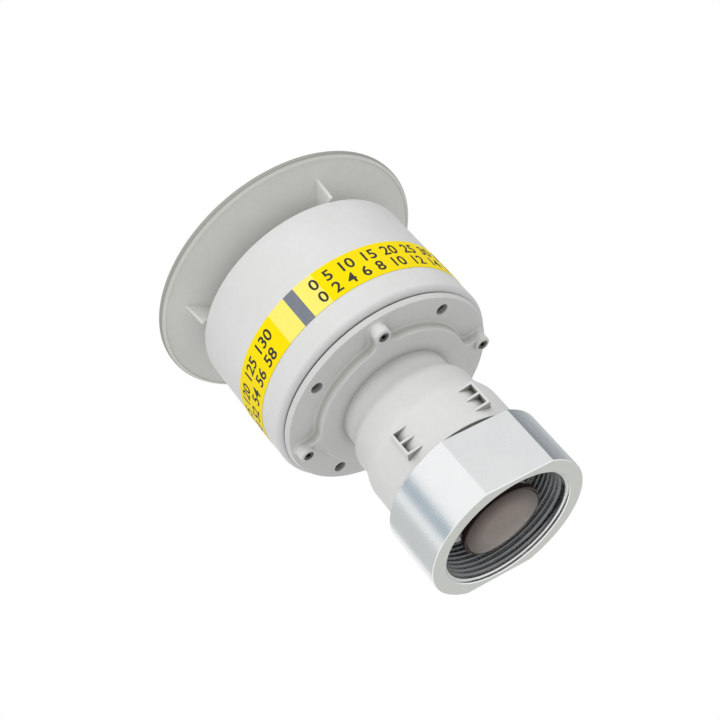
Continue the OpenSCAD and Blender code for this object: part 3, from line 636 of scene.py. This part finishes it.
# %% Lugs and bosses
LUG_X, LUG_Y, LUG_LOW, LUG_HIGH, LUG_PITCH, LUG_WALL, LUG_EDGE = 20, 29.8, 36.2, 48.9, 5.8, 1.1, 0.15
lugs = []
for z in (LUG_LOW + LUG_PITCH * i for i in range(3)):
    lugs.append(bar("lug_rib", (-LUG_X, -LUG_Y, z), (LUG_X, LUG_Y, z + LUG_WALL), LUG_EDGE))
for x in (-LUG_X, LUG_X - LUG_WALL):
    lugs.append(bar("lug_spine", (x, -LUG_Y, LUG_LOW), (x + LUG_WALL, LUG_Y, LUG_HIGH), LUG_EDGE))
bosses = drilled("boss", [(0, 85.5, 0), (3.75, 85.5, 0), (3.6, 78.5, 0.7), (0, 78.5, 0)], BOSS_AT)
combined(body, lugs + bosses, "UNION")
print("body with lugs and bosses, faces", len(body.data.polygons))

# %% [markdown]
# ## Holes, guide ribs and painted shade
# The barrel is cored from below, so that its walls stay even. The bore goes right through, each boss has a deep hole
# for a screw's head, and a drain hole stands between each two bosses. Three ribs in the bore guide the air tube.
# Painted shade darkens the foot of the step's wall, and fades out before the ends of the bosses.

# %% Holes, guide ribs and painted shade
CORE_R, DRAIN_AT, DRAIN_TURN = 28.7, 44.0, math.pi / 4
HEAD_HOLE = [(0, 77, 0), (2.6, 77, 0), (2.35, 78.75, 0.2), (2.35, 81.1, 0.2), (1.65, 81.1, 0), (1.65, 88, 0),
             (0, 88, 0)]
DRAIN_HOLE = [(0, 83, 0), (3.3, 83, 0), (2.75, 84.75, 0.3), (2.75, 88, 0), (0, 88, 0)]
core = lathe("core", [
    (SPIGOT_R, 29.0, 0), (CORE_R, 29.0, 0), (CORE_R, 49.5, 2), (NECK_R, 60.5, 0), (NECK_R, 31.75, 0),
    (SPIGOT_R, 31.75, 0),
])
bore = lathe("bore", straight(INSIDE_R, 22.0, 93.0), closed=False)
heads = drilled("head_hole", HEAD_HOLE, BOSS_AT)
drains = drilled("drain", DRAIN_HOLE, DRAIN_AT, DRAIN_TURN)
combined(body, [core, bore] + heads + drains, "DIFFERENCE")
ribs = [bar("guide_rib", (17.3, -1.2, 34), (24.0, 1.2, 73), 0.2, math.pi / 2 + 2 * math.pi * i / 3) for i in range(3)]
combined(body, ribs, "UNION")
# Painted shade along the foot of the step's wall, under the overhanging flange
painted_shade(body_acetal, "#B9B8B1", ((0, 0, 1), 80.6, 83.2), ((0, 0, 1), FLANGE_Z, 83.4), ((1, 1, 0), 45.5, 41.5))
dress(body, body_acetal, "housing", "grey_plastic", "valve_body")

# %% [markdown]
# ## The gasket and the drum
# The gasket shows only as a dark line between flange and drum. The drum is a plain cup with a rounded lower edge, and
# its rim is rounded too, because a moulding can't have a knife edge. Inside, four low bosses hold the brass inserts
# for the screws. The screw and drain holes go through gasket and drum alike.

# %% The gasket and the drum
DRUM_LOW, DRUM_TOP, DRUM_HOLE_R, GASKET_R = 87.7, 150.7, 38.5, 50.3
gasket = lathe("gasket", [(DRUM_HOLE_R, FLANGE_TOP, 0), (GASKET_R, FLANGE_TOP, 0.1), (GASKET_R, DRUM_LOW, 0.1),
                          (DRUM_HOLE_R, DRUM_LOW, 0)])
drum = lathe("drum", [
    (DRUM_HOLE_R, DRUM_LOW, 0), (DRUM_R, DRUM_LOW, 2.8), (DRUM_R, DRUM_TOP, 0.9), (50.6, DRUM_TOP, 0.6),
    (50.6, 143.0, 0), (49.6, 143.0, 0.2), (49.6, 121.2, 0), (48.6, 121.2, 0.2), (48.6, 90.7, 1.2),
    (DRUM_HOLE_R, 90.7, 0.4),
], steps=8)
combined(drum, drilled("insert_boss", straight(4.4, 88.5, 95.7, 0.4), BOSS_AT), "UNION")
INSERT_HOLE = [(0, 86, 0), (1.8, 86, 0), (1.8, 88.2, 0), (2.95, 88.2, 0), (2.95, 97, 0), (0, 97, 0)]
holes = drilled("insert_hole", INSERT_HOLE, BOSS_AT)
drains = drilled("drain", straight(2.75, 86, 92), DRAIN_AT, DRAIN_TURN)
combined(drum, holes + drains, "DIFFERENCE")
holes = drilled("screw_hole", straight(1.8, 86, 89), BOSS_AT)
drains = drilled("drain", straight(2.9, 86, 89), DRAIN_AT, DRAIN_TURN)
combined(gasket, holes + drains, "DIFFERENCE")
dress(gasket, black_nitrile, "housing", "black_rubber", "flange_gasket")
dress(drum, grey_acetal, "housing", "grey_plastic", "drum_housing")

# %% [markdown]
# ## The band
# The band is a film that is glued round the drum, so it is a thin ring. It is drawn a quarter of a millimetre thick,
# about twice a real film, so that its edge catches a line of light.

# %% The band
BAND_R, BAND_LOW, BAND_HIGH, BAND_EDGE = 53.35, 101.3, 119.3, 0.08
band = lathe("band", [(DRUM_R, BAND_LOW, 0), (BAND_R, BAND_LOW, BAND_EDGE), (BAND_R, BAND_HIGH, BAND_EDGE),
                      (DRUM_R, BAND_HIGH, 0)])
dress(band, film, "housing", "yellow_band", "rating_band")

# %% [markdown]
# ## Numbers on the band
# The band carries plain numbers in two rows, as a scale does. Blender's own font makes each number as a flat
# outline, which is turned into a mesh and wrapped round the drum: a distance along the row becomes an angle. The ink
# stands a few hundredths of a millimetre proud, so that it never fights with the film for the same surface.

# %% Numbers on the band
DIGIT_H, DIGIT_SHARE, INK_R, STROKE = 5.5, 0.7, 53.38, 0.14
FIRST_AT, NUMBER_GAP, END_GAP, LONGEST_EDGE, MOST = 8.5, 3.2, 12, 1.5, 60
ROWS = {"upper_numbers": (111.2, 5), "lower_numbers": (103.6, 2)}


def wrapped_number(text, start_mm, z):
    curve = bpy.data.curves.new("number", "FONT")
    curve.body = text
    curve.size = DIGIT_H * MM / DIGIT_SHARE
    curve.offset = STROKE * MM
    curve.resolution_u = 4
    flat = bpy.data.objects.new("number", curve)
    scene.collection.objects.link(flat)
    mesh = evaluated_mesh(flat)
    bpy.data.objects.remove(flat)
    shape = bmesh.new()
    shape.from_mesh(mesh)
    bmesh.ops.triangulate(shape, faces=shape.faces)
    long_edges = [e for e in shape.edges if e.calc_length() > LONGEST_EDGE * MM]
    bmesh.ops.subdivide_edges(shape, edges=long_edges, cuts=2)
    width = max(v.co.x for v in shape.verts) / MM
    for v in shape.verts:
        a = SEAM_AT + (start_mm + v.co.x / MM) / DRUM_R
        v.co = Vector((INK_R * math.cos(a), INK_R * math.sin(a), z + v.co.y / MM)) * MM
    bmesh.ops.recalc_face_normals(shape, faces=shape.faces)
    inward = [f for f in shape.faces if f.normal.xy.dot(f.calc_center_median().xy) < 0]
    bmesh.ops.reverse_faces(shape, faces=inward)
    shape.to_mesh(mesh)
    shape.free()
    return mesh, width


for name, (z, step) in ROWS.items():
    whole = bmesh.new()
    at = FIRST_AT
    for i in range(MOST):
        mesh, width = wrapped_number(str(i * step), at, z)
        if at + width > 2 * math.pi * DRUM_R - END_GAP:
            break
        whole.from_mesh(mesh)
        at += width + NUMBER_GAP
    dress(placed(name, whole), black_ink, "housing", "yellow_band")

# %% [markdown]
# ## The cap's dish
# The cap is a dish with a trumpet-shaped underside, which turns the vapour outwards, and a rolled rim. The flare is
# one arc in the profile, and the upper side of the wall is the same arc with a larger radius, so the wall is even.

# %% The cap's dish
CAP_R, RIM_Z, FLARE_R, CAP_WALL = 66.0, 166.1, 80.0, 2.4
FLARE_SLOPE, DISH_Z, LIP_R, LEDGE_R = math.radians(16), 146.5, 64.0, 60.0
FLARE_X = CAP_R + FLARE_R * math.sin(FLARE_SLOPE)
FLARE_Z = RIM_Z - FLARE_R * math.cos(FLARE_SLOPE)


def flare(x, depth=0.0):
    return FLARE_Z + math.sqrt((FLARE_R + depth) ** 2 - (FLARE_X - x) ** 2)


def flare_reach(z, depth=0.0):
    return FLARE_X - math.sqrt((FLARE_R + depth) ** 2 - (z - FLARE_Z) ** 2)


under_in, over_in = flare_reach(DISH_Z), flare_reach(DISH_Z + CAP_WALL, CAP_WALL)
under = [(x, flare(x), 0) for x in np.linspace(under_in + 1.5, LIP_R, 26)]
over = [(x, flare(x, CAP_WALL), 0) for x in np.linspace(LEDGE_R, over_in + 1.5, 24)]
cap = lathe("cap", [
    (0, DISH_Z, 0), (under_in, DISH_Z, 1.5), *under, (64.2, flare(LIP_R) - 0.3, 0.1), (65.3, flare(65.3) - 0.1, 0.4),
    (CAP_R, RIM_Z + 0.6, 0.4), (CAP_R, RIM_Z + 2.7, 0.8), (LIP_R, RIM_Z + 2.7, 0.4), (LIP_R, RIM_Z + 1.8, 0),
    (LEDGE_R, RIM_Z + 1.8, 0), *over, (over_in, DISH_Z + CAP_WALL, 1.2), (0, DISH_Z + CAP_WALL, 0),
], closed=False, steps=6)
print("dish floor", round(under_in, 1), "mm in radius, flare to", CAP_R)

# %% [markdown]
# ## The cap's fins
# The dish stands on four thin fins that seat on the drum's rim and reach down inside it, so that the cap is centred.
# Each fin is a plate whose upper edge follows the flare, half a wall into the dish, so the join leaves no gap.

# %% The cap's fins
FIN_T, FIN_TURN = 1.8, math.radians(24)
LEG_IN, LEG_OUT, LEG_LOW, FIN_EDGE = 44.0, 50.3, 145.6, 0.25
fin_edge = [(LEG_IN, LEG_LOW), (LEG_OUT, LEG_LOW), (LEG_OUT, DRUM_TOP), (54.6, DRUM_TOP), (54.9, 151.6)]
fin_edge += [(x, flare(x, CAP_WALL / 2)) for x in np.linspace(56.2, LEG_IN, 8)]


def fin(turned_by):
    shape = bmesh.new()
    sides = [[shape.verts.new(Vector((r, y, z)) * MM) for r, z in fin_edge] for y in (-FIN_T / 2, FIN_T / 2)]
    shape.faces.new(sides[0][::-1])
    shape.faces.new(sides[1])
    for j in range(len(fin_edge)):
        k = (j + 1) % len(fin_edge)
        shape.faces.new((sides[0][j], sides[0][k], sides[1][k], sides[1][j]))
    bmesh.ops.recalc_face_normals(shape, faces=shape.faces)
    outer_edges = [e for e in shape.edges if len(e.link_faces) == 2 and e.calc_face_angle() > 0.6
                   and abs(e.verts[0].co.y - e.verts[1].co.y) < 1e-6]
    bmesh.ops.bevel(shape, geom=outer_edges, offset=FIN_EDGE * MM, segments=2, affect="EDGES", profile=0.5)
    bmesh.ops.triangulate(shape, faces=shape.faces)
    shape.transform(Matrix.Rotation(turned_by, 4, "Z"))
    return placed("fin", shape)


combined(cap, [fin(FIN_TURN + i * math.pi / 2) for i in range(4)], "UNION")
print("cap with fins, faces", len(cap.data.polygons))

# %% [markdown]
# ## The cap's lid and painted rim shade
# A shallow domed lid closes the dish, so that rain runs off. It is a second moulding that snaps into the rim. The rim's
# outer band is darker than the flare below it: painted shade.

# %% The cap's lid and painted rim shade
LID_Z, LID_R = RIM_Z + CAP_WALL - 0.6, 63.85
cover = lathe("cap_lid", [
    (0, LID_Z + 7.65, 0), (20, LID_Z + 7.1, 20), (40, LID_Z + 5.45, 20), (55, LID_Z + 3.5, 20),
    (LID_R, LID_Z + 2.1, 0.6), (LID_R, LID_Z, 0.2), (60.85, LID_Z, 0.3), (60.5, LID_Z + 0.5, 0.3),
    (40, LID_Z + 3.0, 20), (20, LID_Z + 4.7, 20), (0, LID_Z + 5.2, 0),
], closed=False, steps=8)
# Painted shade on the cap's rim band
painted_shade(cap_acetal, "#9C9C95", ((0, 0, 1), RIM_Z - 0.4, RIM_Z + 0.4))
dress(cap, cap_acetal, "housing", "cap_plastic", "cap_deflector")
dress(cover, grey_acetal, "housing", "cap_plastic", "cap_cover")

# %% [markdown]
# ## The poppet in the mouth
# Looking up the pipe, the eye meets the vacuum poppet: a glossy brown plate with a slightly domed face. The brown
# rubber ring that closes the air tube is stretched round it, and a thin lip of the ring shows. Towards its rim the
# plate is darker, as painted shade. Both ride on the poppet's body, so they drop together when the valve draws air.

# %% The poppet in the mouth
FACE_R, FACE_LOW, DOME_H, PLATE_Z, HUB_TOP = 17.2, 2.4, 1.6, 6.4, 13.4
HUB_R, HUB_HOLE_R, RING_IN, RING_R, RING_TOP = 6, 2.58, 6.1, 18.4, 8.4
crown = [(FACE_R * s, FACE_LOW + DOME_H * s ** 2.6, 0) for s in np.linspace(0, 1, 18)]
poppet = lathe("poppet", [
    *crown, (17.5, 4.4, 0.2), (17.5, PLATE_Z, 0), (HUB_R, PLATE_Z, 0), (HUB_R, HUB_TOP, 0.5),
    (HUB_HOLE_R, HUB_TOP, 0.2), (HUB_HOLE_R, PLATE_Z, 0), (0, PLATE_Z, 0),
], closed=False)
seal = lathe("vacuum_ring", [
    (RING_IN, PLATE_Z, 0.2), (17.55, PLATE_Z, 0), (17.55, 4.4, 0.1), (17.9, 4.0, 0.2), (RING_R, 4.6, 0.3),
    (RING_R, 7.0, 0.3), (FACE_R, RING_TOP, 0.5), (RING_IN, RING_TOP, 0.2),
])
# Painted shade: the plate darkens towards its rim
painted_shade(poppet_peek, "#2E1A13", ((1, 1, 0), 10.0, 17.6))
dress(poppet, poppet_peek, "vacuum_group", "poppet_plastic", "vacuum_poppet")
dress(seal, brown_fluorocarbon, "vacuum_group", "brown_rubber", "vacuum_seal")

# %% [markdown]
# ## The spring
# The CAD coil is faceted. Here the wire is swept with many more sides, and its end turns are closed and ground flat as
# a spring maker does. It rides on the pressure group, with a mesh of its own.

# %% The spring
GUIDE_TOP, SPRING_H, COIL_R, WIRE_R = 113.2, 14.0, 4.8, 0.5
COIL_TURNS, COIL_STEPS, WIRE_SIDES, GROUND, DROP = 7, 48, 12, 0.02, 4.0
t = np.linspace(0, 1, COIL_TURNS * COIL_STEPS + 1)
end = 1.0 / COIL_TURNS
lift = np.interp(t, [0, end, 1 - end, 1], [0, 2 * WIRE_R, SPRING_H - 4 * WIRE_R, SPRING_H - 2 * WIRE_R])
sides = evenly(WIRE_SIDES)
sections = []
for a, z in zip(t * COIL_TURNS * 2 * math.pi, GUIDE_TOP + WIRE_R + lift):
    radii = COIL_R + WIRE_R * np.cos(sides)
    heights = np.clip(z + WIRE_R * np.sin(sides), GUIDE_TOP + GROUND, GUIDE_TOP + SPRING_H - GROUND)
    sections.append(outline_row(radii, heights, np.full(WIRE_SIDES, a)))
coil = skin("coil", sections, closed=False, smooth_under=180, capped=True)
dress(coil, drawn_wire, "pressure_group", "steel_wire", "vacuum_spring")
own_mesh(coil)

# %% [markdown]
# ## The rest of the mechanism
# The other pieces keep their CAD solids, because those already have the right shape and hardly show, and get their
# real finishes: steel where something seats or bears, brass that is pressed into plastic, and uncoloured acetal where
# pieces slide. The screws' steel is painted dark, as painted shade down in their bosses.

# %% Finishes for the CAD pieces
FINISHES = {
    stainless_steel: ("seat_ring", "pressure_pallet", "ring_nut", "seal_plate", "vacuum_stem", "spring_retainer",
                      "stem_nut"),
    white_acetal: ("lift_stop", "screen_ring", "air_tube", "stem_guide"),
    black_nitrile: ("collar_seal",), brown_fluorocarbon: ("pressure_seal",), shaded_screw_steel: ("flange_screws",),
    insert_brass: ("screw_inserts",), drawn_wire: ("insect_screen",), plated_steel: ("pallet_weight",),
}
for material, names in FINISHES.items():
    for node in (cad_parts[name] for name in names):
        for slot in node.material_slots:
            slot.material = material
        if not node.material_slots:
            node.data.materials.append(material)
    print(material.name, "on", *names)

# %% [markdown]
# ## The floor
# The valve stands on white paper. The camera looks up from below it, so the paper shows from above only: from below it
# is clear, and it throws no shadow or light on the valve. It fades out with distance, so it has no edge against the
# white background.

# %% The floor
FLOOR_HALF, FLOOR_Z, FADE_FROM, FADE_TO = 3, -0.3 * MM, 0.45, 1.0
SQUARE_SIGNS = ((-1, -1), (1, -1), (1, 1), (-1, 1))
scene.view_settings.view_transform = "Standard"
floor_mesh = bpy.data.meshes.new("floor")
floor_mesh.from_pydata([(x * FLOOR_HALF, y * FLOOR_HALF, FLOOR_Z) for x, y in SQUARE_SIGNS], [], [(0, 1, 2, 3)])
floor = bpy.data.objects.new("floor", floor_mesh)
floor.visible_shadow = floor.visible_glossy = floor.visible_diffuse = False
scene.collection.objects.link(floor)
paper, tree = bare_tree(bpy.data.materials.new("white_paper_floor"))
side = add(tree, "ShaderNodeNewGeometry")
fibre = add(tree, "ShaderNodeTexNoise", {"Scale": per_mm(6), "Detail": 4.0})
tint = add(tree, "ShaderNodeMix", {0: fibre.outputs[0], 6: colour("#F4F4F2"), 7: colour("#FAFAF9")}, data_type="RGBA")
sheet = add(tree, "ShaderNodeBsdfDiffuse", {"Color": tint.outputs[2]})
clear = add(tree, "ShaderNodeBsdfTransparent")
place = add(tree, "ShaderNodeTexCoord").outputs["Object"]
far = add(tree, "ShaderNodeVectorMath", {0: place}, operation="LENGTH")
fade = {0: far.outputs["Value"], 1: FADE_FROM, 2: FADE_TO}
ends = add(tree, "ShaderNodeMapRange", fade, interpolation_type="SMOOTHSTEP")
gone = add(tree, "ShaderNodeMath", {0: side.outputs["Backfacing"], 1: ends.outputs[0]}, operation="MAXIMUM")
face = add(tree, "ShaderNodeMixShader", {0: gone.outputs[0], 1: sheet.outputs[0], 2: clear.outputs[0]})
add(tree, "ShaderNodeOutputMaterial", {"Surface": face.outputs[0]})
floor_mesh.materials.append(paper)
print("floor", 2 * FLOOR_HALF, "m wide, clear from", FADE_TO, "m")

# %% [markdown]
# ## Room light
# The world is the room. It gives most of the light, somewhat more from above than from below, as a room with a white
# ceiling does. To the camera, to reflections and through glass it is plain white, so the background is white without
# more light on the valve.

# %% Room light
LIGHT_BELOW, LIGHT_ABOVE = 0.60, 0.92
scene.world, tree = bare_tree(bpy.data.worlds.new("studio"))
path = add(tree, "ShaderNodeLightPath")
seen = path.outputs["Is Camera Ray"]
for ray in ("Is Glossy Ray", "Is Transmission Ray"):
    seen = add(tree, "ShaderNodeMath", {0: seen, 1: path.outputs[ray]}, operation="MAXIMUM").outputs[0]
outward = add(tree, "ShaderNodeTexCoord").outputs["Generated"]
height = add(tree, "ShaderNodeSeparateXYZ", {0: outward}).outputs[2]
room = add(tree, "ShaderNodeMapRange", {0: height, 1: -1.0, 2: 1.0, 3: LIGHT_BELOW, 4: LIGHT_ABOVE})
level = add(tree, "ShaderNodeMix", {0: seen, 2: room.outputs[0], 3: 1.0})
light = add(tree, "ShaderNodeBackground", {"Color": (1, 1, 1, 1), "Strength": level.outputs[0]})
add(tree, "ShaderNodeOutputWorld", {"Surface": light.outputs[0]})
print("room light", LIGHT_BELOW, "below,", LIGHT_ABOVE, "above")

# %% [markdown]
# ## Soft boxes
# Two soft boxes model the form: a large one over the camera's left shoulder, and a weak one that lifts the shaded
# left side. Reflections don't show them, because there a lamp adds to the white room, and the collar's bright metal
# would lose its tones.

# %% Soft boxes
def in_view(direction):
    right, up, back = direction
    return (view_right * right + view_up * up + view_back * back).normalized()


def soft_box(name, toward, distance, size, power):
    """Square lamp that faces the valve, from a direction in the camera's right, up and back."""
    lamp = bpy.data.lights.new(name, "AREA")
    lamp.shape = "RECTANGLE"
    lamp.size = lamp.size_y = size
    lamp.energy = power
    made = bpy.data.objects.new(name, lamp)
    toward = in_view(toward)
    facing = toward.to_track_quat("Z", "Y").to_matrix().to_4x4()
    made.matrix_world = Matrix.Translation(AIM_AT + toward * distance) @ facing
    made.visible_glossy = False
    scene.collection.objects.link(made)


soft_box("key", (-0.45, 0.85, 0.45), 1.2, 1.45, 6.9)
soft_box("left", (-0.9, -0.3, 0.5), 1.3, 0.9, 1.6)

# %% [markdown]
# ## Cards
# Bright metal shows what stands round it. A photographer puts up grey cards for that, and so does this lesson: each
# card darkens one zone of the collar. Only reflections see the cards, so shadows and the plastic's own colour stay as
# they are.

# %% Cards
CARD_DISTANCE = 1.5


def card(name, toward, across, size, shade):
    """Card that only mirror-like surfaces see: where it stands and its width, in the camera's right, up and back."""
    out, wide = in_view(toward), in_view(across)
    wide = (wide - out * wide.dot(out)).normalized()
    tall = out.cross(wide)
    centre = Vector((0, 0, COLLAR_H / 2 * MM)) + out * CARD_DISTANCE
    corners = [centre + wide * (a * size[0] / 2) + tall * (b * size[1] / 2) for a, b in SQUARE_SIGNS]
    mesh = bpy.data.meshes.new(name)
    mesh.from_pydata(corners, [], [(0, 1, 2, 3)])
    made = bpy.data.objects.new(name, mesh)
    made.visible_camera = made.visible_diffuse = made.visible_shadow = made.visible_transmission = False
    scene.collection.objects.link(made)
    paint, tree = bare_tree(bpy.data.materials.new(name))
    glow = add(tree, "ShaderNodeEmission", {"Color": colour(shade)})
    add(tree, "ShaderNodeOutputMaterial", {"Surface": glow.outputs[0]})
    mesh.materials.append(paint)


CARDS = {
    "left_card": ((-0.99, -0.06, 0.1), (0.05, 0.66, 0.75), (0.5, 2.6), "#9CADB8"),
    "right_card": ((0.49, 0.75, -0.44), (0.1, -0.6, -0.75), (0.8, 2.6), "#828A8F"),
    "middle_card": ((0.49, 0.46, -0.74), (0.1, -0.6, -0.75), (0.45, 2.6), "#A4AAAD"),
    "far_card": ((0.3, 0.12, -0.945), (0.1, -0.6, -0.75), (0.8, 2.6), "#C3C8C8"),
    "table_card": ((0.56, -0.64, -0.52), (1, 0, 0), (2.2, 2.2), "#C9CBC5"),
    "upper_card": ((0.2, 0.97, -0.05), (1, 0, 0), (1.1, 1.1), "#E6E6E6"),
    "back_card": ((-0.75, -0.4, -0.55), (1, 0, 0), (1.2, 1.6), "#C9CCCC"),
}
for name, (toward, across, size, shade) in CARDS.items():
    card(name, toward, across, size, shade)
print("cards", len(CARDS))
